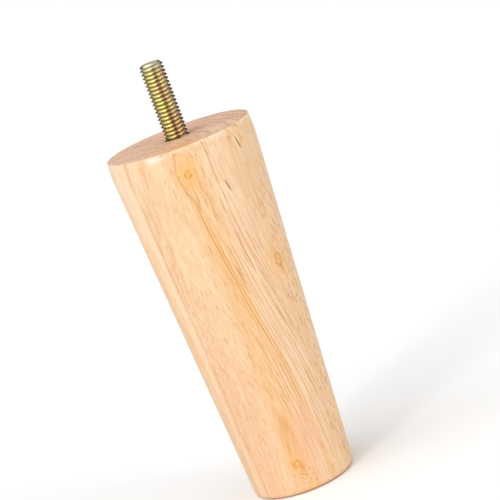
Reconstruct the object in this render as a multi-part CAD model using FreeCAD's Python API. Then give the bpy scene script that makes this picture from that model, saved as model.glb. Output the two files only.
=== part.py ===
import FreeCAD, Part
import math
import os
from FreeCAD import Vector

# A turned, tapered wooden furniture leg with a hanger bolt screwed into its top end.
# Millimetres and degrees. The foot's centre is the origin, the leg stands on z = 0, the stud points up.

# Wooden leg, one turned piece
leg_height = 120.0
widest_diameter = 48.0
widest_below_top = 5.0      # the shoulder's fullest place, measured down from the top face
shoulder_radius = 48.7      # the soft curve that the taper runs into under the top face
foot_diameter = 33.9        # where the straight taper would meet the floor
foot_round = 2.1
rim_break = 0.2             # the sanded bevel round the top face

# Hanger bolt, one steel piece: a machine thread above the wood and a wood thread in it
stud_diameter = 8.0
stud_reach = 25.0           # how far the machine end stands out of the wood
stud_chamfer = 1.0
shank_diameter = 7.1
shank_length = 6.0          # plain stretch below the wood's face
thread_length = 19.0        # the wood thread, from the shank to the point
thread_diameter = 7.9
thread_core = 5.6
thread_pitch = 3.6
thread_flank = 30.0         # how far each flank leans from square to the axis
thread_fade = 2.4           # stretch over which the ridge sinks to the core under the shank
thread_start_angle = 35.0
point_length = 6.0
point_lead_in = 2.0         # bare tip before the ridge begins
shank_taper = 0.75          # cone between the core and the shank

# Fit of the bolt in the wood
mouth_clearance = 0.25      # gap round the stud where the hole opens
mouth_depth = 3.0

# How far the ridge's root goes into the core, and a trimming cone past the crest
overlap = 0.3

stud_radius = stud_diameter / 2
shank_radius = shank_diameter / 2
core_radius = thread_core / 2
crest_radius = thread_diameter / 2
stud_top = leg_height + stud_reach
thread_top = leg_height - shank_length
point_tip = thread_top - thread_length


def at(radius, height):
    """A point of a section, in the plane that is turned about the leg's axis."""
    return Vector(radius, 0, height)


def along(start, end, radius):
    """The point at a given radius on the straight line through two points of a section."""
    return start + (end - start) * ((radius - start.x) / (end.x - start.x))


def polygon(points):
    """A closed wire through the points."""
    return Part.makePolygon(points + points[:1])


def turned(wire):
    """The solid that a lathe makes from half of its section."""
    return Part.Face(wire).revolve(Vector(0, 0, 0), Vector(0, 0, 1), 360)


def level_edges(solid, height):
    """The edges of a turned solid that lie in one level plane."""
    near = Part.Precision.approximation()
    ends = [(edge, edge.BoundBox.ZMin, edge.BoundBox.ZMax) for edge in solid.Edges]
    return [edge for edge, low, high in ends if max(abs(low - height), abs(high - height)) < near]


def taper_meets_shoulder(foot, centre):
    """Where the straight taper from the foot touches the shoulder's circle."""
    to_foot = foot - centre
    bearing = math.atan2(to_foot.z, to_foot.x) + math.acos(shoulder_radius / to_foot.Length)
    return centre + at(math.cos(bearing), math.sin(bearing)) * shoulder_radius


def leg_blank():
    """The leg as turned: rounded foot, straight taper, full soft shoulder and sanded rim."""
    bottom = at(0, 0)
    top = at(0, leg_height)
    foot = at(foot_diameter / 2, 0)
    centre = at(widest_diameter / 2 - shoulder_radius, leg_height - widest_below_top)
    tangent = taper_meets_shoulder(foot, centre)
    widest = centre + at(shoulder_radius, 0)
    rise = widest_below_top - rim_break
    shoulder_end = centre + at(math.sqrt(shoulder_radius**2 - rise**2), rise)
    rim = shoulder_end + at(-rim_break, rim_break)
    outline = [
        Part.LineSegment(bottom, foot),
        Part.LineSegment(foot, tangent),
        Part.Arc(tangent, widest, shoulder_end),
        Part.LineSegment(shoulder_end, rim),
        Part.LineSegment(rim, top),
        Part.LineSegment(top, bottom),
    ]
    blank = turned(Part.Wire([line.toShape() for line in outline]))
    return blank.makeFillet(foot_round, level_edges(blank, 0))


def thread_ridge():
    """The coarse spiral ridge, from a root sunk in the core out to a sharp crest."""
    start = point_tip + point_lead_in
    root_radius = core_radius - overlap
    inner_radius = core_radius * point_lead_in / point_length - overlap
    half_root = (crest_radius - root_radius) * math.tan(math.radians(thread_flank))
    section = polygon(
        [
            at(inner_radius, start - half_root),
            at(root_radius, start - half_root),
            at(crest_radius, start),
            at(root_radius, start + half_root),
            at(inner_radius, start + half_root),
        ]
    )
    helix = Part.makeHelix(thread_pitch, thread_top + half_root - start, core_radius)
    helix.translate(at(0, start))
    ridge = Part.Wire(helix.Edges).makePipeShell([section], True, True)
    ridge.rotate(at(0, 0), at(0, 1), thread_start_angle)
    return ridge


def thread_envelope():
    """What the ridge may fill: a cone to the point, and a cone down to the core at the shank."""
    tip = at(0, point_tip)
    shoulder = at(core_radius, thread_top)
    wide = crest_radius + overlap
    return turned(
        polygon(
            [
                tip,
                along(tip, at(crest_radius, point_tip + point_length), wide),
                along(shoulder, at(crest_radius, thread_top - thread_fade), wide),
                shoulder,
                at(0, thread_top),
            ]
        )
    )


def wood_thread():
    """The screw end: a slim pointed core that carries the ridge."""
    beyond = thread_top + 2 * thread_pitch
    core = turned(
        polygon(
            [
                at(0, point_tip),
                at(core_radius, point_tip + point_length),
                at(core_radius, beyond),
                at(0, beyond),
            ]
        )
    )
    return core.fuse(thread_ridge()).common(thread_envelope())


def hanger_bolt():
    """Chamfered stud, plain shank below the wood's face, and the wood thread under it."""
    stud_and_shank = turned(
        polygon(
            [
                at(0, thread_top),
                at(core_radius, thread_top),
                at(shank_radius, thread_top + shank_taper),
                at(shank_radius, leg_height),
                at(stud_radius, leg_height),
                at(stud_radius, stud_top - stud_chamfer),
                at(stud_radius - stud_chamfer, stud_top),
                at(0, stud_top),
            ]
        )
    )
    return stud_and_shank.fuse(wood_thread()).Solids[0]


def tapered_leg(bolt):
    """The turned leg with the hole that the bolt cuts for itself, opened out at its mouth."""
    mouth = Part.makeCylinder(stud_radius + mouth_clearance, mouth_depth, at(0, leg_height - mouth_depth))
    return leg_blank().cut(bolt).cut(mouth).Solids[0]


os.makedirs("parts", exist_ok=True)
bolt = hanger_bolt()
nodes = {"tapered_leg": tapered_leg(bolt), "hanger_bolt": bolt}
for name, solid in nodes.items():
    solid.exportStep(f"parts/{name}.step")
    box = solid.BoundBox
    print(f"{name}: {solid.Volume / 1000:.2f} cm3, z {box.ZMin:.2f} to {box.ZMax:.2f}")
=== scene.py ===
import math
import bmesh
import bpy
from mathutils import Matrix, Vector


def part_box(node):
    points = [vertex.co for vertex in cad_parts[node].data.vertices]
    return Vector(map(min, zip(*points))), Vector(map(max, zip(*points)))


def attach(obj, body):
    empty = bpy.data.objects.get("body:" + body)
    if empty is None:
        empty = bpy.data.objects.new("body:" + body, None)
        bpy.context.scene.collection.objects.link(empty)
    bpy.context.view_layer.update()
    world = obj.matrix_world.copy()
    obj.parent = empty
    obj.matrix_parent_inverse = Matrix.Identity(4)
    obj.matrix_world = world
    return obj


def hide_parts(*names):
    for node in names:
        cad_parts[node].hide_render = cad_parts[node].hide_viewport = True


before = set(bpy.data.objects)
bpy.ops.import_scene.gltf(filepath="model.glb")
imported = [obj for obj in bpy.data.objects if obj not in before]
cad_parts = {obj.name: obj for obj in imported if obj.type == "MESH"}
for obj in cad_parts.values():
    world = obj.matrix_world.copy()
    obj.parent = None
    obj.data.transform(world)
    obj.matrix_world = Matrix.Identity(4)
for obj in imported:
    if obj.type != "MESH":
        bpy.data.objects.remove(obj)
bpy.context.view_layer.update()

# Tapered leg.
# One length of pale rubberwood, turned to a straight taper that runs into a soft full shoulder, then
# sanded and sealed satin. Its top end is bored for the hanger bolt, which cuts its own thread in it.
MM = 0.001
leg_low, leg_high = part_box("tapered_leg")
bolt_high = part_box("hanger_bolt")[1]
leg_height = leg_high.z
fullest_radius = min(leg_high.x, leg_high.y, -leg_low.x, -leg_low.y)
fullest_level = leg_height - 5 * MM
shoulder_radius = 48.7 * MM
foot_radius = 16.95 * MM
foot_round = 2.1 * MM
rim_round = 0.3 * MM
mouth_radius = bolt_high.x + 0.25 * MM
mouth_depth = 3 * MM
mouth_break = 0.12 * MM
leg_sides = 192
taper_rings = 12
shoulder_rings = 14
leg_smooth_angle = math.radians(30)


def shoulder_at(level):
    """The shoulder's radius at a height."""
    drop = level - fullest_level
    return fullest_radius - shoulder_radius + math.sqrt(shoulder_radius**2 - drop**2)


def taper_end():
    """Height at which the straight taper from the foot touches the shoulder's circle."""
    inward = foot_radius - fullest_radius + shoulder_radius
    bearing = math.atan2(-fullest_level, inward)
    bearing += math.acos(shoulder_radius / math.hypot(inward, fullest_level))
    return fullest_level + shoulder_radius * math.sin(bearing)


def leg_radius(level):
    """The leg's radius at a height: the straight taper, then the shoulder."""
    tangent = taper_end()
    if level > tangent:
        return shoulder_at(level)
    return foot_radius + (shoulder_at(tangent) - foot_radius) * level / tangent


def pick(piece, wanted):
    """In edit mode, selects the edges that pass a test, and nothing else."""
    bpy.ops.mesh.select_mode(type="EDGE")
    bpy.ops.mesh.select_all(action="DESELECT")
    mesh = bmesh.from_edit_mesh(piece.data)
    for edge in mesh.edges:
        if wanted(edge):
            edge.select_set(True)
    mesh.select_flush_mode()
    bmesh.update_edit_mesh(piece.data)


def on_circle(radius, level):
    """A test for edges that lie on a level circle round the axis."""
    near = 0.01 * MM

    def test(edge):
        places = [corner.co for corner in edge.verts]
        return all(abs(p.z - level) < near and abs(p.xy.length - radius) < near for p in places)

    return test


def face_outwards():
    """In edit mode, turns every face of a closed piece outwards."""
    bpy.ops.mesh.select_all(action="SELECT")
    bpy.ops.mesh.normals_make_consistent(inside=False)


def apply_all(piece):
    """Applies the modifiers of a piece."""
    bpy.ops.object.select_all(action="DESELECT")
    bpy.context.view_layer.objects.active = piece
    piece.select_set(True)
    for modifier in list(piece.modifiers):
        bpy.ops.object.modifier_apply(modifier=modifier.name)


def merged_copy(node, name):
    """A copy of a CAD node with a mesh of its own, whose loose triangles are joined."""
    copy = bpy.data.objects.new(name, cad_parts[node].data.copy())
    copy.data.materials.clear()
    bpy.context.collection.objects.link(copy)
    bpy.ops.object.select_all(action="DESELECT")
    bpy.context.view_layer.objects.active = copy
    copy.select_set(True)
    bpy.ops.mesh.customdata_custom_splitnormals_clear()
    bpy.ops.object.mode_set(mode="EDIT")
    bpy.ops.mesh.select_all(action="SELECT")
    bpy.ops.mesh.remove_doubles(threshold=0.001 * MM)
    bpy.ops.object.mode_set(mode="OBJECT")
    return copy


def cut_away(piece, cutter):
    """Takes the cutter's form out of a piece, and removes the cutter."""
    cut = piece.modifiers.new("cut", "BOOLEAN")
    cut.operation = "DIFFERENCE"
    cut.solver = "EXACT"
    cut.object = cutter
    apply_all(piece)
    bpy.data.objects.remove(cutter)


def break_edges(piece, rim_radius):
    """Sands the rim, eases the mouth of the hole and rounds the foot of the leg."""
    pick(piece, on_circle(rim_radius, leg_height))
    bpy.ops.mesh.bevel(offset=rim_round, segments=4, affect="EDGES")
    pick(piece, on_circle(mouth_radius, leg_height))
    bpy.ops.mesh.bevel(offset=mouth_break, segments=2, affect="EDGES")
    pick(piece, on_circle(foot_radius, 0))
    tangent = taper_end()
    sole_angle = math.pi / 2 - math.atan((leg_radius(tangent) - foot_radius) / tangent)
    bpy.ops.mesh.bevel(offset=foot_round * math.tan(sole_angle / 2), segments=8, affect="EDGES")


def turn_leg():
    """The leg drawn up ring by ring from its sole, opened at the top for the stud, then eased."""
    bpy.ops.object.select_all(action="DESELECT")
    bpy.ops.mesh.primitive_circle_add(vertices=leg_sides, radius=foot_radius, fill_type="NGON")
    piece = bpy.context.object
    bpy.ops.object.mode_set(mode="EDIT")
    bpy.ops.mesh.select_mode(type="FACE")
    tangent = taper_end()
    rings = [tangent * ring / taper_rings for ring in range(1, taper_rings + 1)]
    rest = leg_height - tangent
    rings += [tangent + rest * ring / shoulder_rings for ring in range(1, shoulder_rings + 1)]
    radius, level = foot_radius, 0
    for height in rings:
        wide = leg_radius(height)
        growth = wide / radius
        bpy.ops.mesh.extrude_region_move(TRANSFORM_OT_translate={"value": (0, 0, height - level)})
        bpy.ops.transform.resize(value=(growth, growth, 1), center_override=(0, 0, height))
        radius, level = wide, height
    bpy.ops.mesh.inset(thickness=radius - mouth_radius)
    bpy.ops.mesh.extrude_region_move(TRANSFORM_OT_translate={"value": (0, 0, -mouth_depth)})
    break_edges(piece, radius)
    face_outwards()
    bpy.ops.object.mode_set(mode="OBJECT")
    return piece


leg = turn_leg()
leg.name = "turned_leg"
cut_away(leg, merged_copy("hanger_bolt", "borer"))
bpy.ops.object.shade_smooth_by_angle(angle=leg_smooth_angle)


class Shade:
    """A socket of a node tree. Arithmetic on it adds Math nodes, and node() adds any other node."""

    def __init__(self, socket):
        self.socket = socket

    def node(self, kind, settings, inputs, output=0):
        """Adds a node, sets its settings and then its sockets, and returns one of its outputs."""
        made = self.socket.id_data.nodes.new(kind)
        for name, value in settings.items():
            if name == "stops":
                ramp = made.color_ramp.elements
                while len(ramp) < len(value):
                    ramp.new(1)
                for stop, (place, colour) in zip(ramp, value):
                    stop.position = place
                    stop.color = (*colour, 1)
            else:
                setattr(made, name, value)
        for name, value in inputs.items():
            if isinstance(value, Shade):
                self.socket.id_data.links.new(value.socket, made.inputs[name])
            elif isinstance(value, tuple) and len(value) < len(made.inputs[name].default_value):
                made.inputs[name].default_value = (*value, 1)
            else:
                made.inputs[name].default_value = value
        return Shade(made.outputs[output])

    def maths(self, operation, *values):
        """A Math node on this socket and the other values."""
        return self.node("ShaderNodeMath", {"operation": operation}, dict(enumerate((self, *values))))

    def __add__(self, other):
        return self.maths("ADD", other)

    def __sub__(self, other):
        return self.maths("SUBTRACT", other)

    def __rsub__(self, other):
        return (self * -1) + other

    def __mul__(self, other):
        return self.maths("MULTIPLY", other)

    def __truediv__(self, other):
        return self.maths("DIVIDE", other)

    __radd__ = __add__
    __rmul__ = __mul__

    def vector(self, operation, *values, scale=None):
        """A Vector Math node on this socket and the other values."""
        inputs = dict(enumerate((self, *values)))
        if scale is not None:
            inputs["Scale"] = scale
        return self.node("ShaderNodeVectorMath", {"operation": operation}, inputs)

    def rise(self, low, high):
        """Goes smoothly from 0 at one value of the socket to 1 at the other."""
        smooth = {"interpolation_type": "SMOOTHSTEP"}
        inputs = {"Value": self, "From Min": low, "From Max": high}
        return self.node("ShaderNodeMapRange", smooth, inputs)

    def peak(self, middle, width):
        """1 where the socket has the middle value, down to 0 at a width to each side."""
        return 1 - (self - middle).maths("ABSOLUTE").rise(0, width)

    def mix(self, first, second):
        """Two colours mixed, with this socket as the factor."""
        return self.node("ShaderNodeMix", {"data_type": "RGBA"}, {0: self, 6: first, 7: second}, 2)


def triple(x, y, z):
    """A vector from three values, of which the first is a Shade."""
    return x.node("ShaderNodeCombineXYZ", {}, {"X": x, "Y": y, "Z": z})


def coordinates(where):
    """The three values of a vector."""
    split = where.node("ShaderNodeSeparateXYZ", {}, {0: where})
    return [Shade(socket) for socket in split.socket.node.outputs]


def grain(place, detail=2, roughness=0.5, size=1):
    """Noise from about 0 to 1 at a place, with a middle of 0.5."""
    values = {"Vector": place, "Scale": size, "Detail": detail, "Roughness": roughness}
    return place.node("ShaderNodeTexNoise", {}, values)


def streaks(x, y, z, sizes, detail=2, roughness=0.5, shift=0):
    """Noise whose patches have the given sizes along the three values, shifted along the third."""
    wide, deep, long = sizes
    along = z / long
    if shift:
        along = along + shift
    return grain(triple(x / wide, y / deep, along), detail, roughness)


def srgb(red, green, blue):
    """A colour as it is read off a screen, 0 to 255, turned to the linear values of a shader."""
    return tuple(((part / 255 + 0.055) / 1.055) ** 2.4 for part in (red, green, blue))


def new_material(name):
    """A material, its shader, and the place on the piece in millimetres."""
    material = bpy.data.materials.new(name)
    material.use_nodes = True
    nodes = material.node_tree.nodes
    where = Shade(nodes.new("ShaderNodeTexCoord").outputs["Object"])
    return material, nodes["Principled BSDF"], where.vector("SCALE", scale=1 / MM)


def feed(shader, name, value):
    """Links a value to a socket of the shader."""
    shader.id_data.links.new(value.socket, shader.inputs[name])


# The marks of this leg. Bearings go round it from the front, in degrees. Heights and half sizes, across
# and along the grain, are in millimetres. A knot's last value says how warm the wood round it is.
pin_knots = [(-2.5, 111.3, 1.0, 1.15, 1), (48.5, 74.6, 1.6, 2.0, 0.65), (-1.8, 10.4, 1.0, 1.25, 1)]
stains = [(51.0, 71.6, 0.9, 2.2), (1.6, 9.0, 1.2, 2.4), (-6.5, 10.5, 0.7, 2.0)]
amber_patches = [(-1.0, 20.0, 3.4, 9.5)]
speckled_patches = [(6.0, 5.5, 4.0, 3.6), (50.0, 73.6, 2.4, 3.6)]
blushes = [(16.0, 16.0, 7.0, 20.0)]
# A painted highlight on the rim's bevel: bearing, height and half sizes across and along.
rim_spot_highlights = [(-23.0, 118.8, 3.6, 1.3)]
black_pores = [(45.3, 114.4), (23.8, 103.6)]
black_pore_slant = 0.19
black_pore_size = (0.22, 2.0, 3.0)
lens_centre = (-2.5, 111.5)
lens_size = (3.1, 3.1, 8.5)
pale_edge_bearing = -50.0

# The wood that the leg was sawn from, in millimetres: where its pith runs beside the leg's axis, how
# its grain leans and sways up the leg, how far from the pith its ring colours are given, how far apart
# its pores and its brown rows are, and how deep the relief of its pores and fibre is.
pith = (-16.0, -17.0)
grain_lean = (0.1, 0.13)
grain_sway = 1.4
wood_reach = 40.0
pore_spacing = 0.66
row_spacing = 1.05
relief_depth = 0.04
top = leg_height / MM


def on_leg(bearing, level):
    """A place on the leg's side, in millimetres, from a bearing and a height."""
    turn = math.radians(bearing)
    radius = leg_radius(level * MM) / MM
    return Vector((radius * math.sin(turn), -radius * math.cos(turn), level))


def distance(where, centre, sizes):
    """Distance from a centre as a Shade, measured in the given sizes along each axis."""
    away = where.vector("SUBTRACT", tuple(centre)).vector("DIVIDE", sizes)
    return away.node("ShaderNodeVectorMath", {"operation": "LENGTH"}, {0: away}, "Value")


def patch(where, mark):
    """Distance from the middle of a mark, which is 1 at its edge."""
    bearing, level, wide, tall = mark
    return distance(where, on_leg(bearing, level), (wide, wide, tall))


def parted_by_knots(where):
    """The place on the piece, moved so that the grain parts and flows round each knot."""
    parted = where
    for bearing, level, wide, tall, _ in pin_knots:
        centre = on_leg(bearing, level)
        near = 1 - distance(where, centre, (wide * 3, wide * 3, tall * 5)).rise(0, 1)
        aside = where.vector("SUBTRACT", tuple(centre)).vector("MULTIPLY", (-0.55, -0.55, 0))
        parted = parted.vector("ADD", aside.vector("SCALE", scale=near))
    return parted


def growth_colour(x, y, z, ring):
    """The broad colour of the wood across its growth rings, with a warm side, and painted shade and
    sheen down the left edge.
    """
    stops = [
        (0.00, srgb(244, 208, 170)),
        (0.20, srgb(248, 212, 170)),
        (0.29, srgb(248, 208, 162)),
        (0.35, srgb(246, 199, 147)),
        (0.44, srgb(246, 195, 138)),
        (0.50, srgb(248, 203, 150)),
        (0.57, srgb(250, 214, 175)),
        (0.66, srgb(248, 211, 172)),
        (0.78, srgb(246, 204, 160)),
        (1.00, srgb(238, 200, 157)),
    ]
    colour = ring.node("ShaderNodeValToRGB", {"stops": stops}, {"Fac": ring / wood_reach})
    warm = (1 - z.rise(30, 95)) * (1 - ring.rise(6, 15))
    colour = (warm * 0.9).mix(colour, srgb(238, 192, 153))
    # Painted shade and grazing sheen: the left edge is made greyer and darker, most of all low down.
    left_edge_shade_and_sheen = y.rise(-10, -6) * (1 - x.rise(-10, -5)) * (1 - z.rise(10, 100) * 0.6)
    return (left_edge_shade_and_sheen * 0.45).mix(colour, srgb(206, 180, 158))


def clouds_and_fibre(colour, x, u, v, z, fibre):
    """Soft clouds, the fine fibre, and the broader ribbons at the leg's left side."""
    cloud = streaks(u, v, z, (2.2, 2.2, 16))
    colour = (cloud.rise(0.5, 0.7) * 0.5).mix(colour, srgb(244, 194, 150))
    colour = (cloud.rise(0.5, 0.32) * 0.4).mix(colour, srgb(254, 222, 180))
    colour = (fibre.rise(0.5, 0.7) * 0.5).mix(colour, srgb(228, 174, 122))
    colour = (fibre.rise(0.5, 0.3) * 0.45).mix(colour, srgb(255, 230, 196))
    ribbon = streaks(u, v, z, (2.5, 0.9, 24)).rise(0.5, 0.66) * x.rise(-10, -15)
    return (ribbon * 0.5).mix(colour, srgb(236, 178, 130))


def amber_strands(x, u, v, z, front):
    """Fine amber strands along the grain, most of them at the right of the front."""
    strand = streaks(u, v, z, (0.42, 0.7, 60), 1).rise(0.58, 0.66)
    strand = strand * streaks(u, v, z, (3, 3, 14), 1, shift=40).rise(0.38, 0.52)
    return strand * (0.3 + x.peak(5, 12) * front * 0.7)


def brown_rows(x, u, v, z, front):
    """Brown lines that run side by side at the right of the front."""
    spread = u * (2 * math.pi / row_spacing) + streaks(u, v, z, (2, 3, 30)) * 9
    rows = spread.maths("SINE").rise(0.55, 0.95)
    rows = rows * z.peak(48, 62).rise(0, 0.7) * x.peak(6, 12).rise(0, 0.7)
    return rows * streaks(u, v, z, (0.8, 2, 20), 1).rise(0.38, 0.58) * front


def amber_lines(colour, where, x, u, v, z, front):
    """The amber growth lines down the front, which part into a lens round the top knot."""
    fade = streaks(u, v, z, (3, 3, 9), 1, shift=80).rise(0.36, 0.55) * z.rise(30, 60)
    uneven = (grain(where, 1, size=0.3) - 0.5) * 0.3
    lens = distance(where, on_leg(*lens_centre), lens_size) + uneven
    lens_edge = lens.peak(1, 0.17) * (1 - x.rise(-3, 0.5) * 0.85) * z.rise(101, 105)
    colour = ((1 - lens.rise(0.6, 1.2)) * 0.2).mix(colour, srgb(248, 196, 122))
    colour = (lens_edge * 0.6).mix(colour, srgb(222, 150, 74))
    outside = lens.rise(0.9, 1.1)
    fade = fade * outside
    front = front * outside
    colour = (u.peak(-2.3, 2.0) * front * 0.36).mix(colour, srgb(246, 188, 116))
    colour = (u.peak(-2.6, 0.24) * front * (0.3 + fade * 0.7) * 0.95).mix(colour, srgb(214, 136, 60))
    colour = (u.peak(-3.3, 0.2) * front * (1 - fade) * 0.7).mix(colour, srgb(222, 150, 76))
    colour = (u.peak(-1.6, 0.22) * front * fade * 0.8).mix(colour, srgb(220, 146, 72))
    return (u.peak(6.3, 0.32) * front * fade * 0.7).mix(colour, srgb(214, 142, 92))


def long_pores(u, v, z, crowd):
    """Short brown dashes along the grain, broken at random, and more of them where they crowd."""
    cells = {"Vector": triple(u / pore_spacing, v / pore_spacing, 0), "Scale": 1}
    pores = u.node("ShaderNodeTexVoronoi", {"voronoi_dimensions": "2D"}, cells, "Distance")
    pore_tone = coordinates(Shade(pores.socket.node.outputs["Color"]))[0]
    broken = grain(triple(pore_tone * 60, 0, z / 4), 0).rise(0.47, 0.55)
    rare = 0.5 - crowd * 0.5
    return (1 - pores.rise(0.16, 0.32)) * broken * pore_tone.rise(rare, rare + 0.45)


def sapwood_edge(colour, x, y, z, drift):
    """The pale strip and the thin brown line beside it, down the left of the leg."""
    turn = math.radians(pale_edge_bearing)
    side = x * math.cos(turn) + y * math.sin(turn) + (drift - 0.5)
    near = (x * math.sin(turn) - y * math.cos(turn)).rise(0, 3)
    pale = side.peak(-2.2, 2.2) * near * (0.2 + z.rise(10, 80) * 0.3)
    colour = pale.mix(colour, srgb(254, 229, 194))
    bleached = side.rise(-1.5, -4) * near * z.rise(88, 112) * 0.32
    colour = bleached.mix(colour, srgb(246, 226, 206))
    patchy = streaks(x, y, z, (30, 30, 14), 1, shift=9).rise(0.4, 0.55)
    return (side.peak(0, 0.36) * near * (0.4 + patchy * 0.6) * 0.85).mix(colour, srgb(206, 152, 100))


def knots_and_stains(colour, where):
    """Pin knots, each a warm spot with a worn brown ring and a halo, and the stains beside them."""
    rough_edge = (grain(where, 2, size=0.8) - 0.5) * 0.9
    worn = grain(where, 1, size=0.7).rise(0.36, 0.56)
    for *knot, warmth in pin_knots:
        away = patch(where, knot) + rough_edge
        colour = ((1 - away.rise(0.8, 5)) * 0.65 * warmth).mix(colour, srgb(247, 192, 112))
        colour = ((1 - away.rise(0.6, 1.0)) * 0.7 * warmth).mix(colour, srgb(242, 182, 92))
        colour = (away.peak(0.95, 0.38) * worn * 0.8 * warmth).mix(colour, srgb(208, 130, 44))
    for stain in stains:
        away = patch(where, stain) + rough_edge
        colour = ((1 - away.rise(0.3, 1.1)) * 0.6).mix(colour, srgb(222, 148, 86))
    return colour


def marks(colour, where, x, y, u, v, z):
    """Amber and speckled patches, a blush near the foot, black pores, and painted highlights under the
    rim and on it.
    """
    streaky = streaks(u, v, z, (0.6, 0.6, 14), 1).rise(0.52, 0.64)
    for amber in amber_patches:
        inside = 1 - patch(where, amber).rise(0.3, 1.2)
        colour = (inside * 0.5).mix(colour, srgb(242, 184, 112))
        colour = (inside * streaky * 0.4).mix(colour, srgb(222, 152, 80))
    speck = streaks(x, y, z, (0.45, 0.45, 0.9), 1).rise(0.54, 0.64)
    for speckled in speckled_patches:
        inside = 1 - patch(where, speckled).rise(0.6, 1.1)
        colour = (inside * speck * 0.6).mix(colour, srgb(214, 142, 92))
    for blush in blushes:
        colour = ((1 - patch(where, blush).rise(0.3, 1)) * 0.4).mix(colour, srgb(244, 190, 158))
    for bearing, level in black_pores:
        slanted = where.vector("SUBTRACT", triple((z - level) * -black_pore_slant, 0, 0))
        black = 1 - distance(slanted, on_leg(bearing, level), black_pore_size).rise(0.4, 1)
        colour = black.mix(colour, srgb(120, 60, 14))
    # A painted highlight: a paler band just under the rim, where the rounded edge catches the light.
    rim_band_highlight = z.rise(top - 2.4, top - 1) * streaks(x, y, z, (6, 6, 2)).rise(0.4, 0.6)
    colour = (rim_band_highlight * 0.5).mix(colour, srgb(254, 236, 212))
    # A painted highlight: a near-white spot on the rim's bevel.
    for rim_spot_highlight in rim_spot_highlights:
        colour = ((1 - patch(where, rim_spot_highlight).rise(0.2, 1)) * 0.5).mix(colour, srgb(255, 250, 242))
    return colour


def end_grain_colour(where, x, y, z, ring, ring_x, ring_y):
    """The top face: greyer rings, open speckled pores, and a few amber spots."""
    growth = streaks(ring, ring_x, ring_y, (1.2, 14, 14), 3, 0.6)
    colour = growth.rise(0.35, 0.65).mix(srgb(202, 160, 132), srgb(234, 198, 172))
    speckle = streaks(x, y, z, (0.5, 0.9, 1), 2, 0.7)
    colour = (speckle.rise(0.5, 0.65) * 0.75).mix(colour, srgb(186, 138, 108))
    colour = (speckle.rise(0.5, 0.35) * 0.7).mix(colour, srgb(246, 212, 186))
    colour = (x.peak(0, 12) * (1 - y.rise(-18, -8)) * 0.7).mix(colour, srgb(216, 158, 98))
    amber_spots = [(-8, -0.5, top), (9.7, -3, top), (-0.7, -9, top)]
    for spot in amber_spots:
        near = 1 - distance(where, spot, (1.4, 3.2, 1)).rise(0.2, 1)
        colour = (near * 0.85).mix(colour, srgb(244, 182, 118))
    return colour


def satin_rubberwood():
    """Pale hardwood as one solid pattern, so that sides, back and ends all belong together."""
    material, shader, where = new_material("satin_rubberwood")
    drift = where.vector("DIVIDE", (25, 25, 60))
    drift = drift.node("ShaderNodeTexNoise", {}, {"Vector": drift, "Scale": 1, "Detail": 1}, "Color")
    drift_x, drift_y, drift_side = coordinates(drift)
    x, y, z = coordinates(parted_by_knots(where))
    x = x + (drift_x - 0.5) * 1.5
    y = y + (drift_y - 0.5) * 1.5
    below = top - z
    u = x - below * grain_lean[0] - (z * (2 * math.pi / top)).maths("SINE") * grain_sway
    v = y - below * grain_lean[1]
    ring_x = x - pith[0]
    ring_y = y - pith[1]
    ring = (ring_x * ring_x + ring_y * ring_y).maths("SQRT")

    fibre = streaks(u, v, z, (0.35, 0.35, 9), 3, 0.65)
    colour = growth_colour(x, y, z, ring)
    colour = clouds_and_fibre(colour, x, u, v, z, fibre)
    front = y.rise(-4, -9)
    strand = amber_strands(x, u, v, z, front)
    colour = (strand * 0.55).mix(colour, srgb(214, 144, 78))
    colour = (brown_rows(x, u, v, z, front) * 0.72).mix(colour, srgb(208, 142, 84))
    colour = amber_lines(colour, where, x, u, v, z, front)
    crowd = ring.rise(27, 37)
    pore = long_pores(u, v, z, crowd)
    pore_depth = 0.52 + crowd * 0.4 - ring.rise(36, 46) * 0.42
    colour = (pore * pore_depth).mix(colour, srgb(204, 126, 54))
    colour = sapwood_edge(colour, x, y, z, drift_side)
    colour = knots_and_stains(colour, where)
    colour = marks(colour, where, x, y, u, v, z)

    facing = where.node("ShaderNodeTexCoord", {}, {}, "Normal")
    end_grain = coordinates(facing)[2].maths("ABSOLUTE").rise(0.6, 0.95)
    end_colour = end_grain_colour(where, x, y, z, ring, ring_x, ring_y)
    colour = (end_grain * 0.95).mix(colour.vector("SCALE", scale=0.95), end_colour)
    feed(shader, "Base Color", colour)
    feed(shader, "Roughness", 0.5 + end_grain * 0.2 + pore * 0.2)
    relief = pore * -1 + fibre * 0.2 + strand * -0.4
    bumps = {"Strength": 0.4, "Distance": relief_depth * MM, "Height": relief}
    feed(shader, "Normal", relief.node("ShaderNodeBump", {}, bumps))
    shader.inputs["Specular IOR Level"].default_value = 0.25
    shader.inputs["Coat Weight"].default_value = 0.04
    shader.inputs["Coat Roughness"].default_value = 0.35
    return material


leg.data.materials.clear()
leg.data.materials.append(satin_rubberwood())
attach(leg, "root")
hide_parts("tapered_leg")

# Hanger bolt.
# One rolled steel fastener with yellow passivated zinc plating. Its coarse screw end is driven into
# the leg, and the fine machine thread that stands out of the top is what the furniture is fixed to.
thread_pitch = 1.25 * MM
thread_depth = 0.767 * MM
thread_flank = math.radians(30)
root_width = thread_pitch / 6
crest_round = 0.07 * MM
crest_flat = 0.03 * MM
beyond_crest = 0.1 * MM
thread_start = leg_height - mouth_depth
steps_a_turn = 64
bolt_smooth_angle = math.radians(28)


def flare_crests(inner_radius, inner_width):
    """In edit mode, widens the groove's outer edge in steps, which rounds the crests beside it."""
    crest = bolt_high.x
    flare = [
        (crest - crest_round * 0.25, thread_pitch - crest_round * 1.8),
        (crest, thread_pitch - crest_flat),
        (crest + beyond_crest, thread_pitch - crest_flat * 0.8),
    ]
    reached, width = inner_radius, inner_width
    for radius, wider in flare:
        bpy.ops.mesh.extrude_edges_move(TRANSFORM_OT_translate={"value": (radius - reached, 0, 0)})
        bpy.ops.transform.resize(value=(1, 1, wider / width), center_override=(radius, 0, thread_start))
        reached, width = radius, wider


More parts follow.
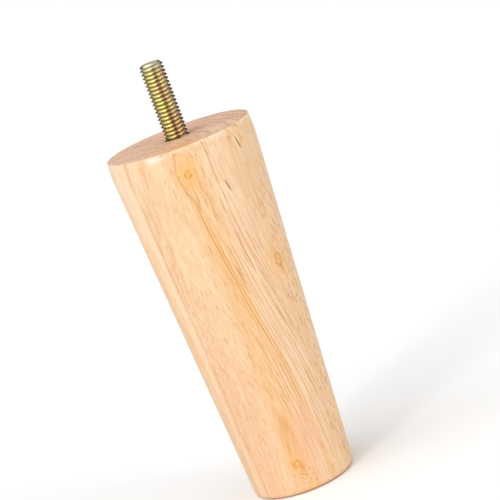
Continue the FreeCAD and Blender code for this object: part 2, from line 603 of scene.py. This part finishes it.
def groove_section():
    """The outline of the groove between two crests, as a closed wire beside the stud's axis."""
    root = bolt_high.x - thread_depth
    outer = bolt_high.x - crest_round
    width = root_width + 2 * (outer - root) * math.tan(thread_flank)
    middle = ((root + outer) / 2, 0, thread_start)
    bpy.ops.object.select_all(action="DESELECT")
    bpy.ops.mesh.primitive_plane_add(size=1, location=middle, rotation=(math.pi / 2, 0, 0))
    section = bpy.context.object
    section.scale = (outer - root, width, 1)
    bpy.ops.object.transform_apply(location=True, rotation=True, scale=True)
    bpy.ops.object.mode_set(mode="EDIT")
    pick(section, lambda edge: all(corner.co.x < middle[0] for corner in edge.verts))
    bpy.ops.transform.resize(value=(1, 1, root_width / width), center_override=middle)
    pick(section, lambda edge: all(corner.co.x > middle[0] for corner in edge.verts))
    flare_crests(outer, width)
    bpy.ops.mesh.select_mode(type="FACE")
    bpy.ops.mesh.select_all(action="SELECT")
    bpy.ops.mesh.dissolve_faces()
    bpy.ops.mesh.delete(type="ONLY_FACE")
    bpy.ops.object.mode_set(mode="OBJECT")
    return section


def groove_cutter():
    """What a thread-rolling die leaves out: the groove's section carried round in a spiral."""
    cutter = groove_section()
    spiral = cutter.modifiers.new("spiral", "SCREW")
    spiral.screw_offset = thread_pitch
    spiral.iterations = math.ceil((bolt_high.z - thread_start) / thread_pitch) + 1
    spiral.steps = steps_a_turn
    spiral.render_steps = steps_a_turn
    spiral.use_smooth_shade = False
    apply_all(cutter)
    bpy.ops.object.mode_set(mode="EDIT")
    bpy.ops.mesh.select_all(action="SELECT")
    bpy.ops.mesh.fill_holes(sides=0)
    face_outwards()
    bpy.ops.object.mode_set(mode="OBJECT")
    return cutter


bolt = merged_copy("hanger_bolt", "threaded_hanger_bolt")
cut_away(bolt, groove_cutter())
bpy.ops.object.mode_set(mode="EDIT")
bpy.ops.mesh.select_all(action="SELECT")
bpy.ops.mesh.remove_doubles(threshold=0.002 * MM)
face_outwards()
bpy.ops.object.mode_set(mode="OBJECT")
bpy.ops.object.shade_smooth_by_angle(angle=bolt_smooth_angle)


def yellow_zinc():
    """Passivated zinc, straw and green to rose, with painted reflections: rosier to the right, dark
    down the front and sides; painted shade and duller plating in the roots.
    """
    material, shader, where = new_material("yellow_zinc")
    x, y, z = coordinates(where)
    out = (x * x + y * y).maths("SQRT")
    tip = bolt_high.z / MM
    # The plating tone wanders at random, and also turns from straw-green at the left to rose at the
    # right, a painted reflection colour.
    tint_and_painted_reflection = streaks(x, y, z, (2.2, 2.2, 5), 2, 0.6) * 0.8 + x.rise(-3, 3) * 0.2
    stops = [
        (0.32, srgb(236, 238, 160)),
        (0.45, srgb(246, 240, 174)),
        (0.54, srgb(246, 228, 176)),
        (0.68, srgb(242, 212, 184)),
    ]
    colour = tint_and_painted_reflection.node("ShaderNodeValToRGB", {"stops": stops}, {"Fac": tint_and_painted_reflection})
    # Painted dark reflections: a brown band down the front, and darker sides.
    painted_front_dark_band = x.peak(0.4, 1.1) * (1 - y.rise(-1, 0))
    painted_dark_reflections = painted_front_dark_band.maths("MAXIMUM", x.maths("ABSOLUTE").rise(2.2, 3.4))
    colour = (painted_dark_reflections * 0.55).mix(colour, srgb(146, 106, 56))
    above_wood = z.rise(top - 4, top - 3)
    # Painted shade in the thread's roots, with duller plating there: darker brown and rougher.
    root = (1 - out.rise(3.3, 3.5)) * above_wood * (1 - z.rise(tip - 0.3, tip - 0.1))
    colour = (root * 0.7).mix(colour, srgb(84, 60, 34))
    colour = (z.rise(tip - 4, tip) * 0.6).mix(colour, srgb(200, 196, 182))
    end_face = z.rise(tip - 0.1, tip - 0.02)
    feed(shader, "Base Color", colour)
    feed(shader, "Roughness", 0.16 + root * 0.25 + end_face * 0.3 + grain(where, 2) * 0.08)
    shader.inputs["Metallic"].default_value = 1
    return material


bolt.data.materials.clear()
bolt.data.materials.append(yellow_zinc())
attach(bolt, "root")
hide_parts("hanger_bolt")

# Studio.
# A wide matt white floor under a pale dome, brightest at the front left, with two darker stretches that
# the bolt mirrors, and three soft lamps. The camera has a long lens and is rolled, so the leg leans.
floor_radius = 20
floor_sides = 64
dome_key = Vector((-0.5, -0.7, 0.5)).normalized()
camera_distance = 0.71197
camera_height = 0.22589
camera_turn = 0.0128
camera_tilt = -0.2055
camera_roll = -0.3558
picture_side = 500
focal_pixels = 2269.4


def studio_floor():
    """A disc with a small one at its middle, in matt white."""
    bpy.ops.object.select_all(action="DESELECT")
    bpy.ops.mesh.primitive_circle_add(vertices=floor_sides, radius=1, fill_type="NGON")
    floor = bpy.context.object
    floor.name = "studio_floor"
    bpy.ops.object.mode_set(mode="EDIT")
    pick(floor, lambda edge: True)
    bpy.ops.mesh.extrude_edges_move(TRANSFORM_OT_translate={"value": (0, 0, 0)})
    bpy.ops.transform.resize(value=(floor_radius, floor_radius, 1), center_override=(0, 0, 0))
    bpy.ops.object.mode_set(mode="OBJECT")
    material, shader, where = new_material("matt_white")
    paper = grain(where, 1, size=0.02)
    feed(shader, "Base Color", paper.mix(srgb(247, 247, 247), srgb(250, 250, 250)))
    shader.inputs["Roughness"].default_value = 0.9
    floor.data.materials.append(material)
    return floor


def soft_dome():
    """The light from all round, with a dark card high behind and a dark gap low in front."""
    world = bpy.data.worlds.new("soft_dome")
    world.use_nodes = True
    nodes = world.node_tree.nodes
    direction = Shade(nodes.new("ShaderNodeTexCoord").outputs["Generated"])
    sides = {0: direction, 1: tuple(dome_key)}
    towards = direction.node("ShaderNodeVectorMath", {"operation": "DOT_PRODUCT"}, sides, "Value")
    glow = towards.rise(-0.4, 1).mix(srgb(232, 232, 232), srgb(255, 255, 255))
    sideways, away, up = coordinates(direction)
    dark_card = away.rise(0.05, 0.3) * up.rise(0.1, 0.2) * (1 - up.rise(0.55, 0.75))
    dark_gap = sideways.peak(0.12, 0.26) * (1 - away.rise(-0.5, -0.3)) * up.rise(0.03, 0.12)
    glow = dark_card.maths("MAXIMUM", dark_gap).mix(glow, srgb(70, 70, 70))
    world.node_tree.links.new(glow.socket, nodes["Background"].inputs["Color"])
    nodes["Background"].inputs["Strength"].default_value = 1.0
    return world


def soft_lamp(name, towards_lamp, strength, width):
    """A lamp far off in a direction, as wide in the sky as an angle in degrees."""
    turn = Vector(towards_lamp).to_track_quat("Z", "Y").to_euler()
    bpy.ops.object.light_add(type="SUN", rotation=turn)
    lamp = bpy.context.object
    lamp.name = name
    lamp.data.energy = strength
    lamp.data.angle = math.radians(width)


def studio_camera():
    """A long lens in front of the leg and above it, looking a little down, and rolled."""
    bpy.ops.object.camera_add()
    camera = bpy.context.object
    camera.name = "studio_camera"
    aim = Matrix.Rotation(-camera_turn, 4, "Z") @ Matrix.Rotation(math.pi / 2 + camera_tilt, 4, "X")
    place = Matrix.Translation((0, -camera_distance, camera_height))
    camera.matrix_world = place @ aim @ Matrix.Rotation(camera_roll, 4, "Z")
    camera.data.lens = focal_pixels / picture_side * camera.data.sensor_width
    return camera


studio_floor()
bpy.context.scene.world = soft_dome()
soft_lamp("overhead_lamp", (-0.3, -0.2, 0.93), 0.85, 60)
soft_lamp("left_lamp", (-0.5, -0.66, 0.56), 0.4, 10)
soft_lamp("right_lamp", (0.66, -0.5, 0.56), 0.3, 12)
bpy.context.scene.camera = studio_camera()
bpy.context.scene.view_settings.view_transform = "Standard"
